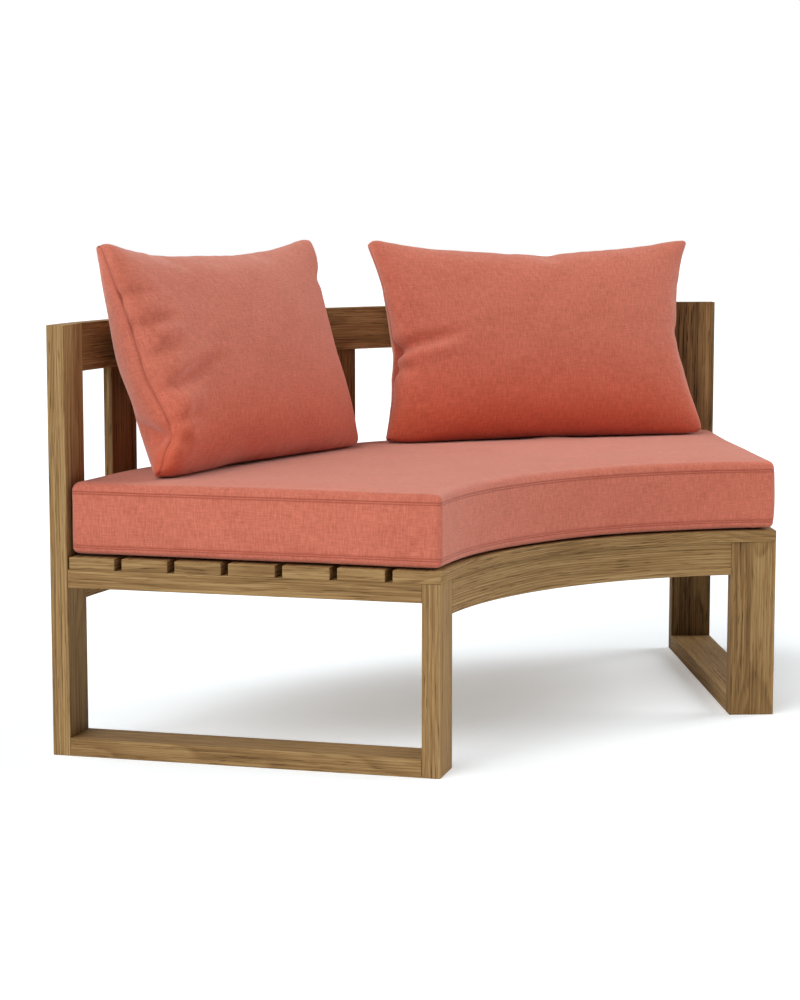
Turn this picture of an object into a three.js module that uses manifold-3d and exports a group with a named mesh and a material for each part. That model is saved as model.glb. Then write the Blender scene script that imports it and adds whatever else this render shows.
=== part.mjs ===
// Curved bench segment for outdoors: two closed end frames, curved rails, slatted seat and back,
// a fitted seat cushion and two throw pillows. Five such segments close a ring.
// Millimetres, +Z up, front toward -Y. The origin is on the floor, in the middle of the outline.

import * as THREE from 'three';
import { mergeGeometries, mergeVertices } from 'three/addons/utils/BufferGeometryUtils.js';
import Module from 'manifold-3d';

const wasm = await Module();
wasm.setup();

// Plan and height of the segment
const benchHeight = 700;
const innerRadius = 650; // front faces of the front legs
const halfSpan = THREE.MathUtils.degToRad( 36 );

// Boards of the frame
const boardWidth = 78;
const boardThickness = 30;
const seatRailTop = 307; // where the slats lie
const frontApronHeight = 58;
const bearerCount = 3;

// Seat slats
const slatCount = 7;
const slatWidth = 78;
const slatGap = 12;
const slatThickness = 20;
const slatOverhang = 1; // past the front faces of the legs
const slatPostGap = 3;
const slatArris = 2.5;

// Back stiles
const stileWidth = 78;
const stileThickness = 16;
const stileCount = 7;
const stileTenonShare = 0.5; // of the stile's thickness

// Joinery
const tenonDepth = 14;
const tenonThickness = 10;
const tenonShoulder = 18;
const fitGap = 0.3;
const overrun = 5; // how far a cutter or a joined block reaches past the face it meets

// Screws that hold the slats from below
const screwHeadRadius = 4;
const screwHeadHeight = 3;
const screwShankRadius = 2;
const screwPointLength = 5;
const screwTipCover = 8; // slat wood left above the point
const screwPlaceShare = 0.65; // of the slat's width, from its front edge

// Seat cushion
const cushionHeight = 121;
const cushionCrown = 4.7;
const cushionOverhang = 1; // past the front slat
const cushionBackGap = 16; // to the back rail
const cushionEndInset = 2;
const cushionEdgeRadius = 15;
const cushionDrawIn = 2;
const cushionFullness = 4; // power by which the crown falls off toward the edges

// Throw pillows
const pillowWidth = 660;
const pillowHeight = 405;
const pillowThickness = 172;
const pillowDrawIn = 24; // of each edge between its corners
const pillowFootDrawIn = 9; // the same of the edge that it stands on
const pillowEar = 7; // how far a corner is blunted
const pillowEarPower = 8; // the higher, the closer to the corner
const pillowFullnessAcross = 2.8; // 2 makes an ellipse, more a fuller section
const pillowFullnessUp = 2.2;
const pillowLean = THREE.MathUtils.degToRad( 16 );
const pillowTurn = THREE.MathUtils.degToRad( 21.4 );
const pillowGap = 50; // between the two, at the foot
const pillowForward = 152; // foot of the pillow, in front of the back rail
const pillowSettle = 10; // how far the lower edge presses flat
const pillowLeastThickness = 12;
const pillowRailRoll = 50; // height over the rail at which the pillow is free of it

// Covers, fillings and zips
const coverThickness = 5; // fabric with its wadding
const pillowSeamAllowance = 10;
const fillGap = 0.5;
const zipWidth = 8;
const seatZipSpanShare = 0.5; // of the cushion's span
const pillowZipLengthShare = 0.6; // of the pillow's width
const pillowZipRise = 45; // above the pillow's lower edge

// Places that follow from the sizes
const slatPitch = slatWidth + slatGap;
const slatFront = innerRadius - slatOverhang;
const slatBack = slatFront + slatCount * slatPitch - slatGap;
const postFront = slatBack + slatPostGap;
const outerRadius = postFront + boardThickness; // back faces of the rear posts
const legBack = innerRadius + boardThickness;
const frontFaceRadius = Math.hypot( innerRadius, boardWidth );
const frontApronBack = Math.hypot( legBack, boardWidth );
const backRailFront = Math.hypot( postFront, boardWidth );
const backRailBack = Math.hypot( outerRadius, boardWidth );
const backRailMiddle = ( backRailFront + backRailBack ) / 2;
const arcSteps = 12; // pairs of flats round each curved face
const backRailFlat = backRailFront * Math.cos( halfSpan / ( 2 * arcSteps ) ); // nearest point of those flats
const seatRailBottom = seatRailTop - boardThickness;
const seatTop = seatRailTop + slatThickness;
const apronBottom = seatRailTop - frontApronHeight;
const topRailBottom = benchHeight - boardWidth;
const cushionFront = slatFront - cushionOverhang;
const cushionBack = backRailFront - cushionBackGap;
const cushionBottom = seatTop + fitGap;
const cushionCrest = cushionBottom + cushionHeight + cushionCrown;
const arcCentreY = - ( backRailBack + slatFront * Math.cos( halfSpan ) ) / 2;

// Counts of facets
const screwSides = 8;
const cushionSpanCells = 14;
const cushionDepthCells = 4;
const pillowWidthCells = 16;
const pillowHeightCells = 12;

const materials = {
	wood: new THREE.MeshStandardMaterial( { color: 0x96774c, roughness: 0.7, metalness: 0 } ),
	fabric: new THREE.MeshStandardMaterial( { color: 0xc9706a, roughness: 0.9, metalness: 0 } ),
	foam: new THREE.MeshStandardMaterial( { color: 0xe8e2cf, roughness: 1, metalness: 0 } ),
	zip: new THREE.MeshStandardMaterial( { color: 0xa8524c, roughness: 0.6, metalness: 0 } ),
	steel: new THREE.MeshStandardMaterial( { color: 0xb8b9bb, roughness: 0.35, metalness: 1 } ),
};

// A geometry's triangles on shared vertices, without those that have shrunk to a line
function weld( geometry ) {

	const bare = geometry.clone();
	bare.deleteAttribute( 'normal' );
	bare.deleteAttribute( 'uv' );
	const welded = mergeVertices( bare );
	const corners = Array.from( welded.index.array );
	const kept = [];
	for ( let i = 0; i < corners.length; i += 3 ) {

		const [ a, b, c ] = corners.slice( i, i + 3 );
		if ( a !== b && b !== c && c !== a ) kept.push( a, b, c );

	}

	welded.setIndex( kept );
	return welded;

}

function toSolid( geometry ) {

	const welded = weld( geometry );
	return new wasm.Manifold( new wasm.Mesh( {
		numProp: 3,
		vertProperties: new Float32Array( welded.attributes.position.array ),
		triVerts: new Uint32Array( welded.index.array ),
	} ) );

}

function toGeometry( solid ) {

	const mesh = solid.getMesh();
	const geometry = new THREE.BufferGeometry();
	const corners = new Float32Array( mesh.vertProperties );
	geometry.setAttribute( 'position', new THREE.BufferAttribute( corners, 3 ) );
	geometry.setIndex( Array.from( mesh.triVerts ) );
	geometry.computeVertexNormals();
	return geometry;

}

// Joins the added geometries to a body and cuts the others out of it
function shape( body, added, cutters ) {

	let solid = toSolid( body );
	for ( const piece of added ) solid = solid.add( toSolid( piece ) );
	for ( const cutter of cutters ) solid = solid.subtract( toSolid( cutter ) );
	return toGeometry( solid );

}

// A block between two values on each axis
function block( xs, ys, zs, grow = 0 ) {

	const size = [ xs, ys, zs ].map( ( [ a, b ] ) => Math.abs( b - a ) + 2 * grow );
	const middle = [ xs, ys, zs ].map( ( [ a, b ] ) => ( a + b ) / 2 );
	return new THREE.BoxGeometry( ...size ).translate( ...middle );

}

// A block of an end frame: inward from the end plane, outward along the radius, and up
function endBlock( side, inward, outward, up, grow = 0 ) {

	return block( inward.map( ( u ) => - side * u ), outward, up, grow );

}

// A block bent about the ring's axis, its ends cut at an angle of their own on each face
function arcBlock( front, back, bottom, top, arris = 0 ) {

	const outline = new THREE.Shape();
	const ahead = Math.PI / 2;
	outline.absarc( 0, 0, back.radius, ahead - back.angle, ahead + back.angle, false );
	outline.absarc( 0, 0, front.radius, ahead + front.angle, ahead - front.angle, true );
	return new THREE.ExtrudeGeometry( outline, {
		depth: top - bottom - 2 * arris,
		bevelEnabled: arris > 0,
		bevelThickness: arris,
		bevelSize: arris,
		bevelOffset: - arris,
		bevelSegments: 1,
		curveSegments: arcSteps,
	} ).translate( 0, 0, bottom + arris );

}

// Where a circle about the ring's axis meets a plane that lies inward of the end plane
const onPlane = ( radius, inward ) => ( { radius, angle: halfSpan - Math.asin( inward / radius ) } );

function curvedBoard( front, back, inward, bottom, top, arris = 0 ) {

	return arcBlock( onPlane( front, inward ), onPlane( back, inward ), bottom, top, arris );

}

const bench = new THREE.Group();
bench.position.y = arcCentreY;

function place( group, name, geometry, material ) {

	const mesh = new THREE.Mesh( geometry, materials[ material ] );
	mesh.name = name;
	group.add( mesh );
	return mesh;

}

// A group that stands at an angle round the ring, positive toward +X, its own +Y along the radius
function turned( angle ) {

	const group = new THREE.Group();
	group.rotation.z = - angle;
	bench.add( group );
	return group;

}

const about = ( middle, width ) => [ middle - width / 2, middle + width / 2 ];
const between = ( low, high, margin ) => [ low + margin, high - margin ];
const sides = { left: - 1, right: 1 };

// Tenons of the end frames, as spans inward, outward and up
const acrossBoard = between( 0, boardWidth, tenonShoulder );
const tenonInBoard = [ boardWidth - tenonDepth, boardWidth + overrun ];
const legMiddle = about( innerRadius + boardThickness / 2, tenonThickness );
const postMiddle = about( outerRadius - boardThickness / 2, tenonThickness );
const tenonInLeg = [ legBack - tenonDepth, legBack + overrun ];
const tenonInPost = [ postFront - overrun, postFront + tenonDepth ];
const floorRailMiddle = about( boardThickness / 2, tenonThickness );
const seatRailMiddle = about( ( seatRailBottom + seatRailTop ) / 2, tenonThickness );

const tenons = {
	floorRailFront: [ acrossBoard, tenonInLeg, floorRailMiddle ],
	floorRailRear: [ acrossBoard, tenonInPost, floorRailMiddle ],
	seatRailFront: [ acrossBoard, tenonInLeg, seatRailMiddle ],
	seatRailRear: [ acrossBoard, tenonInPost, seatRailMiddle ],
	frontApron: [ tenonInBoard, legMiddle, between( apronBottom, seatRailTop, tenonShoulder ) ],
	rearApron: [ tenonInBoard, postMiddle, between( apronBottom, seatTop, tenonShoulder ) ],
	topRail: [ tenonInBoard, postMiddle, between( topRailBottom, benchHeight, tenonShoulder ) ],
};

const tenon = ( side, name ) => endBlock( side, ...tenons[ name ] );
const mortise = ( side, name ) => endBlock( side, ...tenons[ name ], fitGap );

// Screws: the profile from the head's face up to the point, and the hole that clears it
const screwLength = seatTop - screwTipCover - seatRailBottom;

function screwGeometry( grow ) {

	const mouth = grow > 0 ? [ [ 0, - overrun ], [ screwHeadRadius + grow, - overrun ] ] : [ [ 0, 0 ] ];
	const profile = [
		...mouth,
		[ screwHeadRadius + grow, 0 ],
		[ screwShankRadius + grow, screwHeadHeight ],
		[ screwShankRadius + grow, screwLength - screwPointLength ],
		[ 0, screwLength + grow ],
	];
	const points = profile.map( ( [ radius, height ] ) => new THREE.Vector2( radius, height ) );
	const screw = new THREE.LatheGeometry( points, screwSides );
	return screw.rotateX( Math.PI / 2 ).translate( 0, 0, seatRailBottom );

}

const slatRadii = Array.from( { length: slatCount }, ( _, i ) => slatFront + i * slatPitch );
const screwRadii = slatRadii.map( ( radius ) => radius + screwPlaceShare * slatWidth );

// A screw line's places: at a given distance beside a radius that stands at an angle round the ring
function screwLine( angle, beside ) {

	return screwRadii.map( ( radius ) => ( { angle, x: beside, y: Math.sqrt( radius ** 2 - beside ** 2 ) } ) );

}

const screwLines = {
	left: screwLine( - halfSpan, boardWidth / 2 ),
	middle: screwLine( 0, 0 ),
	right: screwLine( halfSpan, - boardWidth / 2 ),
};

const screwHole = ( { x, y } ) => screwGeometry( fitGap ).translate( x, y, 0 );

// Two end frames: a rear post and a front leg, joined by a rail on the floor and one under the seat
function endFrame( sideName ) {

	const side = sides[ sideName ];
	const frame = turned( side * halfSpan );
	const across = [ 0, boardWidth ];
	const railSpan = between( legBack, postFront, fitGap );

	place( frame, `rear_post_${ sideName }`, shape(
		endBlock( side, across, [ postFront, outerRadius ], [ 0, benchHeight ] ), [],
		[ 'floorRailRear', 'seatRailRear', 'rearApron', 'topRail' ].map( ( name ) => mortise( side, name ) )
	), 'wood' );
	place( frame, `front_leg_${ sideName }`, shape(
		endBlock( side, across, [ innerRadius, legBack ], [ 0, seatRailTop ] ), [],
		[ 'floorRailFront', 'seatRailFront', 'frontApron' ].map( ( name ) => mortise( side, name ) )
	), 'wood' );
	place( frame, `floor_rail_${ sideName }`, shape(
		endBlock( side, across, railSpan, [ 0, boardThickness ] ),
		[ tenon( side, 'floorRailFront' ), tenon( side, 'floorRailRear' ) ], []
	), 'wood' );
	place( frame, `seat_end_rail_${ sideName }`, shape(
		endBlock( side, across, railSpan, [ seatRailBottom, seatRailTop ] ),
		[ tenon( side, 'seatRailFront' ), tenon( side, 'seatRailRear' ) ],
		screwLines[ sideName ].map( screwHole )
	), 'wood' );

}

// Back stiles and cross bearers stand between the curved boards, each in a group of its own
const postAngle = halfSpan - Math.asin( boardWidth / 2 / backRailMiddle );
const evenAngles = ( count ) => Array.from( { length: count }, ( _, i ) => {

	const share = 2 * ( i + 1 ) / ( count + 1 ) - 1;
	return share * postAngle;

} );
const stileAngles = evenAngles( stileCount );
const bearerAngles = evenAngles( bearerCount );
const stileTenonAcross = between( - stileWidth / 2, stileWidth / 2, tenonShoulder );
const stileTenonOutward = about( backRailMiddle, stileThickness * stileTenonShare );
const stileTenonTop = [ topRailBottom - overrun, topRailBottom + tenonDepth ];
const stileTenonFoot = [ seatTop - tenonDepth, seatTop + overrun ];
const bearerFront = frontApronBack + fitGap;
const bearerBack = Math.sqrt( ( backRailFlat - fitGap ) ** 2 - ( boardWidth / 2 ) ** 2 );
const bearerTenonAcross = between( - boardWidth / 2, boardWidth / 2, tenonShoulder );
const bearerTenonFront = [ frontApronBack - tenonDepth, bearerFront + overrun ];
const bearerTenonBack = [ bearerBack - overrun, backRailFront + tenonDepth ];

const stileTenon = ( up, grow = 0 ) => block( stileTenonAcross, stileTenonOutward, up, grow );
const bearerTenon = ( outward, grow = 0 ) => block( bearerTenonAcross, outward, seatRailMiddle, grow );
const atAngles = ( angles, make ) => angles.map( ( angle ) => make().rotateZ( - angle ) );

function curvedBoards() {

	const ring = turned( 0 );
	const inward = boardWidth + fitGap;
	const endTenon = ( side, name ) => tenon( side, name ).rotateZ( - side * halfSpan );
	const bothEnds = ( name ) => Object.values( sides ).map( ( side ) => endTenon( side, name ) );

	place( ring, 'front_apron', shape(
		curvedBoard( frontFaceRadius, frontApronBack, inward, apronBottom, seatRailTop ),
		bothEnds( 'frontApron' ),
		atAngles( bearerAngles, () => bearerTenon( bearerTenonFront, fitGap ) )
	), 'wood' );
	place( ring, 'rear_apron', shape(
		curvedBoard( backRailFront, backRailBack, inward, apronBottom, seatTop ),
		bothEnds( 'rearApron' ),
		[
			...atAngles( bearerAngles, () => bearerTenon( bearerTenonBack, fitGap ) ),
			...atAngles( stileAngles, () => stileTenon( stileTenonFoot, fitGap ) ),
		]
	), 'wood' );
	place( ring, 'back_top_rail', shape(
		curvedBoard( backRailFront, backRailBack, inward, topRailBottom, benchHeight ),
		bothEnds( 'topRail' ),
		atAngles( stileAngles, () => stileTenon( stileTenonTop, fitGap ) )
	), 'wood' );

}

function backStiles() {

	stileAngles.forEach( ( angle, i ) => {

		const body = block(
			about( 0, stileWidth ), about( backRailMiddle, stileThickness ), between( seatTop, topRailBottom, fitGap )
		);
		place( turned( angle ), `back_stile_${ i + 1 }`, shape(
			body, [ stileTenon( stileTenonTop ), stileTenon( stileTenonFoot ) ], []
		), 'wood' );

	} );

}

function crossBearers() {

	bearerAngles.forEach( ( angle, i ) => {

		const isUnder = ( spot ) => Math.abs( spot.angle - angle ) < fitGap / outerRadius;
		const holes = screwLines.middle.filter( isUnder );
		const railSpan = [ bearerFront, bearerBack ];
		const body = block( about( 0, boardWidth ), railSpan, [ seatRailBottom, seatRailTop ] );
		place( turned( angle ), `cross_bearer_${ i + 1 }`, shape(
			body, [ bearerTenon( bearerTenonFront ), bearerTenon( bearerTenonBack ) ], holes.map( screwHole )
		), 'wood' );

	} );

}

function seatSlats() {

	const ring = turned( 0 );
	const rows = Object.values( screwLines );
	slatRadii.forEach( ( radius, i ) => {

		const holes = rows.map( ( row ) => screwHole( row[ i ] ).rotateZ( - row[ i ].angle ) );
		place( ring, `seat_slat_${ i + 1 }`, shape(
			curvedBoard( radius, radius + slatWidth, 0, seatRailTop, seatTop, slatArris ), [], holes
		), 'wood' );

	} );

}

function slatScrews() {

	for ( const [ lineName, line ] of Object.entries( screwLines ) ) {

		line.forEach( ( spot, i ) => {

			const geometry = toGeometry( toSolid( screwGeometry( 0 ) ) );
			const screw = place( turned( spot.angle ), `slat_screw_${ lineName }_${ i + 1 }`, geometry, 'steel' );
			screw.position.set( spot.x, spot.y, 0 );

		} );

	}

}

// Distances along one edge of a rounded block: close together in its roundings, even between them
function edgeStops( length, radius, cells ) {

	const halfCorner = radius * ( 1 - Math.tan( Math.PI / 8 ) );
	const inner = Array.from( { length: cells + 1 }, ( _, i ) => radius + ( length - 2 * radius ) * i / cells );
	return [ 0, halfCorner, ...inner, length - halfCorner, length ];

}

// The seat cushion, or a layer that lies a given distance inside its surface
function cushionSolid( inset ) {

	const radius = cushionEdgeRadius - inset / 2;
	const middleRadius = ( cushionFront + cushionBack ) / 2;
	const size = new THREE.Vector3(
		2 * ( middleRadius * halfSpan - cushionEndInset - inset ),
		cushionBack - cushionFront - 2 * inset,
		cushionHeight - 2 * inset
	);
	const stops = [
		edgeStops( size.x, radius, cushionSpanCells ),
		edgeStops( size.y, radius, cushionDepthCells ),
		edgeStops( size.z, radius, 1 ),
	];
	const geometry = new THREE.BoxGeometry( 1, 1, 1, ...stops.map( ( row ) => row.length - 1 ) );
	const position = geometry.attributes.position;
	const point = new THREE.Vector3();
	const core = new THREE.Vector3();
	const low = new THREE.Vector3( radius, radius, radius );
	const high = size.clone().sub( low );
	for ( let i = 0; i < position.count; i ++ ) {

		point.fromBufferAttribute( position, i );
		point.set( ...point.toArray().map( ( share, axis ) => {

			const row = stops[ axis ];
			return row[ Math.round( ( share + 1 / 2 ) * ( row.length - 1 ) ) ];

		} ) );
		core.copy( point ).clamp( low, high );
		point.sub( core ).setLength( radius ).add( core );

		const along = 2 * point.x / size.x - 1;
		const across = 2 * point.y / size.y - 1;
		const up = point.z / size.z;
		const swell = ( 1 - along ** cushionFullness ) * ( 1 - across ** cushionFullness );
		const waist = 1 - ( 2 * up - 1 ) ** 2;
		const reach = 1 - across ** 2;
		const r = cushionFront + inset + point.y - across * waist * cushionDrawIn;
		const halfWidth = Math.asin( ( cushionEndInset + inset + waist * reach * cushionDrawIn ) / r );
		const angle = along * ( halfSpan - halfWidth );
		const z = cushionBottom + inset + point.z + up ** 2 * swell * cushionCrown;
		position.setXYZ( i, r * Math.sin( angle ), r * Math.cos( angle ), z );

	}

	return toSolid( geometry );

}

// Half the thickness of a pillow at shares of its half width and half height
function pillowHalfThickness( s, t, halfThickness ) {

	const acrossShare = Math.sqrt( Math.max( 0, 1 - Math.abs( s ) ** pillowFullnessAcross ) );
	const upShare = Math.sqrt( Math.max( 0, 1 - Math.abs( t ) ** pillowFullnessUp ) );
	return halfThickness * acrossShare * upShare;

}

const pillowFootRadius = backRailFront - pillowForward;
const pillowMiddleX = ( pillowGap + pillowWidth * Math.cos( pillowTurn ) ) / 2;
const pillowMiddleY = Math.sqrt( pillowFootRadius ** 2 - pillowMiddleX ** 2 );

// From a pillow's own axes, across, up and toward the front, to its place on the bench
function pillowPlace( side ) {

	const across = new THREE.Vector3( Math.cos( pillowTurn ), - side * Math.sin( pillowTurn ), 0 );
	const back = new THREE.Vector3( side * Math.sin( pillowTurn ), Math.cos( pillowTurn ), 0 );
	const up = back.multiplyScalar( Math.sin( pillowLean ) ).setZ( Math.cos( pillowLean ) );
	const front = across.clone().cross( up );
	return new THREE.Matrix4().makeBasis( across, up, front )
		.setPosition( side * pillowMiddleX, pillowMiddleY, cushionCrest + fitGap - pillowSettle );

}

// A throw pillow leaning on the back rail, or a layer inside its surface
function pillowSolid( side, inset, seamInset ) {

	const halfWidth = pillowWidth / 2 - seamInset;
	const halfHeight = pillowHeight / 2 - seamInset;
	const faces = [ 1, - 1 ].map( ( face ) => {

		const sheet = new THREE.PlaneGeometry( 2, 2, pillowWidthCells, pillowHeightCells );
		if ( face < 0 ) sheet.setIndex( Array.from( sheet.index.array ).reverse() );
		const position = sheet.attributes.position;
		const point = new THREE.Vector3();
		for ( let i = 0; i < position.count; i ++ ) {

			const s = Math.sin( position.getX( i ) * Math.PI / 2 );
			const t = Math.sin( position.getY( i ) * Math.PI / 2 );
			const ear = ( s * t ) ** pillowEarPower * pillowEar;
			const drawUp = THREE.MathUtils.lerp( pillowFootDrawIn, pillowDrawIn, ( 1 + t ) / 2 );
			const half = pillowHalfThickness( s, t, pillowThickness / 2 - inset );
			point.set(
				s * ( halfWidth - pillowDrawIn * ( 1 - t ** 2 ) - ear ),
				pillowHeight / 2 + t * ( halfHeight - drawUp * ( 1 - s ** 2 ) - ear ),
				face * half
			);
			point.applyMatrix4( pillowPlace( side ) );
			const isRim = half < fitGap;
			const ahead = isRim ? 1 / 2 : ( face + 1 ) / 2;
			settle( point, inset, ahead );
			position.setXYZ( i, ...point );

		}

		return sheet;

	} );
	return toSolid( mergeGeometries( faces.map( weld ) ) );

}

// Keeps a point of a pillow clear of the seat cushion below it and of the back rail behind it
function settle( point, inset, ahead ) {

	point.z = Math.max( point.z, cushionCrest + fitGap + inset );
	const overRail = Math.max( 0, point.z - benchHeight - pillowRailRoll );
	const reach = backRailFlat - fitGap - inset - ahead * pillowLeastThickness + overRail;
	const radius = Math.hypot( point.x, point.y );
	const pull = Math.min( 1, reach / radius );
	point.x *= pull;
	point.y *= pull;

}

// A cover with its zip opening, the zip in that opening, and the filling
function upholster( name, layer, slot, fillingName ) {

	const shell = layer( 0, 0 ).subtract( layer( coverThickness, pillowSeamAllowance ) );
	const ring = turned( 0 );
	place( ring, `${ name }_cover`, toGeometry( shell.subtract( toSolid( slot( 0 ) ) ) ), 'fabric' );
	place( ring, `${ name }_zip`, toGeometry( shell.intersect( toSolid( slot( fitGap ) ) ) ), 'zip' );
	const filling = layer( coverThickness + fillGap, pillowSeamAllowance + fillGap );
	place( ring, `${ name }_${ fillingName }`, toGeometry( filling ), 'foam' );

}

function seatCushion() {

	const middle = cushionBottom + cushionHeight / 2;
	const slot = ( inset ) => {

		const angle = halfSpan * seatZipSpanShare - inset / cushionBack;
		const front = { radius: cushionBack - coverThickness - overrun, angle };
		const back = { radius: cushionBack + overrun, angle };
		return arcBlock( front, back, ...about( middle, zipWidth - 2 * inset ) );

	};

	upholster( 'seat_cushion', cushionSolid, slot, 'foam' );

}

function throwPillow( sideName ) {

	const side = sides[ sideName ];
	const slot = ( inset ) => block(
		about( 0, pillowWidth * pillowZipLengthShare - 2 * inset ),
		about( pillowZipRise, zipWidth - 2 * inset ),
		[ - pillowThickness, 0 ]
	).applyMatrix4( pillowPlace( side ) );
	const layer = ( inset, seamInset ) => pillowSolid( side, inset, seamInset );
	upholster( `pillow_${ sideName }`, layer, slot, 'filling' );

}

for ( const sideName of Object.keys( sides ) ) endFrame( sideName );
curvedBoards();
backStiles();
crossBearers();
seatSlats();
slatScrews();
seatCushion();
for ( const sideName of Object.keys( sides ) ) throwPillow( sideName );

export default bench;
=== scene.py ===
"""Curved outdoor bench segment: an oiled hardwood frame, a linen-weave seat cushion and two throw pillows.

Metres, +Z up, the front faces -Y. "Left" is the side of -X. Angles round the ring count from +Y toward +X.
"""

import math
import random

import bpy
import numpy as np
from mathutils import Euler, Matrix, Vector, noise
from mathutils.kdtree import KDTree


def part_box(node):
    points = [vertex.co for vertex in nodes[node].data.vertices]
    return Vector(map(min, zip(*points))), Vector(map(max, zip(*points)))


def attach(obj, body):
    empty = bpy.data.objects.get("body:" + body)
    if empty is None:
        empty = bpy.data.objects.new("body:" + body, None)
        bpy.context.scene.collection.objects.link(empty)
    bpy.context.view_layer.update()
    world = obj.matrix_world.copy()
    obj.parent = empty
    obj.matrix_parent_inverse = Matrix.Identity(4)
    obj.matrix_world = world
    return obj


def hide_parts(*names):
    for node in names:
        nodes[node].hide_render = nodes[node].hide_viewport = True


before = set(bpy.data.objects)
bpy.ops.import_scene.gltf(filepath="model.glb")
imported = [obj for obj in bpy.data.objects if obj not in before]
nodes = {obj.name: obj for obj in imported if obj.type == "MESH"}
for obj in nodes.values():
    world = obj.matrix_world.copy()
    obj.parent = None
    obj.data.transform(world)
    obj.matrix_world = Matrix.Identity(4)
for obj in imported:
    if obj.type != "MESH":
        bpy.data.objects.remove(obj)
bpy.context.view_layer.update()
bpy.ops.object.select_all(action="DESELECT")

scene = bpy.context.scene
scene.view_settings.view_transform = "Standard"

# Sizes of the frame
INNER_RADIUS = 0.65
HALF_SPAN = math.radians(36)
BOARD_WIDTH = 0.078
BOARD_THICKNESS = 0.03
FIT_GAP = 0.0003
SEAT_RAIL_TOP = 0.307
APRON_BOTTOM = 0.249
SLAT_COUNT = 7
SLAT_WIDTH = 0.078
SLAT_THICKNESS = 0.02
SLAT_GAP = 0.012
SLAT_POST_GAP = 0.003
SLAT_ARRIS = 0.0014
STILE_COUNT = 7
BEARER_COUNT = 3
BENCH_HEIGHT = 0.7
SIDES = {"left": -1, "right": 1}

# Sizes of the seat cushion
CUSHION_HEIGHT = 0.121
CUSHION_CROWN = 0.0047
CUSHION_OVERHANG = 0.001
CUSHION_BACK_GAP = 0.006
CUSHION_END_INSET = 0.0015
CUSHION_BULGE = 0.002
CUSHION_FULLNESS = 4
TOP_ROUND = 0.0155
CORNER_ROUND = 0.013
SEAM_RISE = 0.0143
STITCH_OFFSET = 0.0037
SEAM_DEPTH = 0.0009
STITCH_DEPTH = 0.0006
STITCH_LENGTH = 0.0045
STITCH_SHOWN = 0.72  # of its length, before the thread dips under
CUSHION_UNDER_LIFT = 0.003
CUSHION_UNDER_FULLNESS = 14
FOOT_PRESS = 0.003

# Sizes of a throw pillow
PILLOW_WIDTH = 0.66
PILLOW_HEIGHT = 0.403
PILLOW_THICKNESS = 0.172
PILLOW_EAR = 0.013
PILLOW_EAR_POWER = 11
RIM_LEAN_REACH = 0.28
PILLOW_FOOT_DRAW_IN = 0.009
PILLOW_RIM = 0.009
PILLOW_FULLNESS_UP = 2.2
PILLOW_LEAN = math.radians(16)
PILLOW_TURN = math.radians(21.4)
PILLOW_GAP = 0.05
PILLOW_FORWARD = 0.152
PILLOW_SETTLE = 0.013
PILLOW_SAG = 0.18
PILLOW_LEAST_THICKNESS = 0.012
PILLOW_RAIL_ROLL = 0.05
PILLOW_RAIL_GAP = 0.0012
PILLOW_SOFTNESS = 0.0025
RIM_ROWS = (0.0008, 0.0018, 0.0033)
ON_SEAM = 0.999  # the rim share from which a point counts as on the seam

ZIP_WIDTH = 0.008
ZIP_TOOTH_PITCH = 0.0025
PILLOW_ZIP_RISE = 0.049
SLIDER_FROM_END = 0.014
SLIDER_SIZE = (0.011, 0.0075, 0.003)
PULL_SIZE = (0.0055, 0.019, 0.0014)

SCREW_SHANK_RADIUS = 0.002
SCREW_POINT_LENGTH = 0.005
SCREW_HEAD_HEIGHT = 0.003
SCREW_HEAD_RIM = 0.0004
SCREW_RECESS_DEPTH = 0.0016

COVER_THICKNESS = 0.006
PAD_INSET = 0.014

# Places that follow from them and from the frame
PILLOW_HALF = np.array([PILLOW_WIDTH / 2, PILLOW_HEIGHT / 2])
SLAT_PITCH = SLAT_WIDTH + SLAT_GAP
SLAT_FRONT = INNER_RADIUS - 0.001
POST_FRONT = SLAT_FRONT + SLAT_COUNT * SLAT_PITCH - SLAT_GAP + SLAT_POST_GAP
RAIL_FRONT = math.hypot(POST_FRONT, BOARD_WIDTH)
RAIL_BACK = math.hypot(POST_FRONT + BOARD_THICKNESS, BOARD_WIDTH)
APRON_FRONT = math.hypot(INNER_RADIUS, BOARD_WIDTH)
APRON_BACK = math.hypot(INNER_RADIUS + BOARD_THICKNESS, BOARD_WIDTH)
RING_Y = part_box("back_top_rail")[1].y - RAIL_BACK
SEAT_TOP = SEAT_RAIL_TOP + SLAT_THICKNESS
CUSHION_FRONT = SLAT_FRONT - CUSHION_OVERHANG
CUSHION_BACK = RAIL_FRONT - CUSHION_BACK_GAP
CUSHION_BOTTOM = SEAT_TOP + FIT_GAP
CUSHION_CREST = CUSHION_BOTTOM + CUSHION_HEIGHT + CUSHION_CROWN
SOLE_HEIGHT = CUSHION_CREST + FIT_GAP - FOOT_PRESS
PILLOW_FOOT_RADIUS = RAIL_FRONT - PILLOW_FORWARD
PILLOW_MIDDLE_X = (PILLOW_GAP + PILLOW_WIDTH * math.cos(PILLOW_TURN)) / 2
PILLOW_MIDDLE_Y = math.sqrt(PILLOW_FOOT_RADIUS ** 2 - PILLOW_MIDDLE_X ** 2)


def on_ring(radius, angle, height=0.0):
    """The point at a radius and an angle round the ring's axis."""
    return Vector((radius * math.sin(angle), RING_Y + radius * math.cos(angle), height))


def srgb(code):
    """The linear colour of an sRGB hex value such as #96774c."""
    shares = [int(code[i:i + 2], 16) / 255 for i in (1, 3, 5)]
    return (*(c / 12.92 if c <= 0.04045 else ((c + 0.055) / 1.055) ** 2.4 for c in shares), 1.0)


def give(thing, **settings):
    """Sets properties of a thing, and returns it."""
    for name, value in settings.items():
        setattr(thing, name, value)
    return thing


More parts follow.
